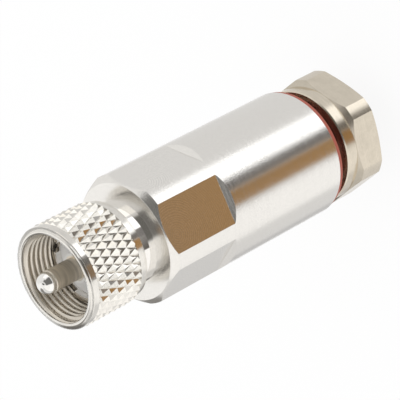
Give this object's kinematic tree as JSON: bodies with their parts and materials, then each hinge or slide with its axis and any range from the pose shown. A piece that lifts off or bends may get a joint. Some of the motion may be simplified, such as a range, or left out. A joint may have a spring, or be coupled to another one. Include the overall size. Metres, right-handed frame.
{
  "type": "uhf coaxial plug connector",
  "caption": "Clamp-type UHF cable plug: knurled coupling nut round a ball-tipped pin, round body with wrench flats, red seal and hexagonal back nut.",
  "frame": {"origin": "on the plug's axis, at the back nut's rear face that it stands on", "axes": "+Z along the axis from the cable end to the mating pin, -Y out of one wrench flat of the main body, +X to its right"},
  "size_m": [0.0238, 0.0238, 0.0745],
  "materials": {
    "body_plating": "satin white-bronze plating on turned brass",
    "bright_nickel": "bright nickel plating on knurled brass",
    "warm_nickel": "bright, slightly warm nickel plating on brass",
    "contact_plating": "dull silver plating on brass, polished at the ball tip",
    "spring_steel": "plain spring steel",
    "white_insulator": "matte white",
    "red_silicone": "smooth red silicone"
  },
  "bodies": {
    "body": {"main_body": "body_plating", "body_seal": "red_silicone", "centre_contact": "contact_plating", "insulator": "white_insulator"},
    "ring": {"retaining_ring": "spring_steel"},
    "coupling": {"coupling_nut": "bright_nickel"},
    "clamp": {"clamp_collet": "body_plating", "cable_gasket": "red_silicone"},
    "back_nut": {"back_nut": "warm_nickel"}
  },
  "joints": [
    {"name": "coupling_slide", "type": "slide", "parent": "body", "child": "ring", "axis": [0, 0, -1], "range_m": [0, 0.0034]},
    {"name": "coupling_turn", "type": "hinge", "parent": "ring", "child": "coupling", "pos_m": [0, 0, 0.063], "axis": [0, 0, 1], "continuous": true},
    {"name": "clamp_travel", "type": "slide", "parent": "body", "child": "clamp", "axis": [0, 0, 1], "range_m": [-0.008, 0.0022]},
    {"name": "back_nut_screw", "type": "hinge", "parent": "clamp", "child": "back_nut", "pos_m": [0, 0, 0], "axis": [0, 0, 1], "range_deg": [-2880, 792]}
  ],
  "couplings": [
    {"joint": "clamp_travel", "follows": "back_nut_screw", "m_per_rad": 0.00015915}
  ]
}
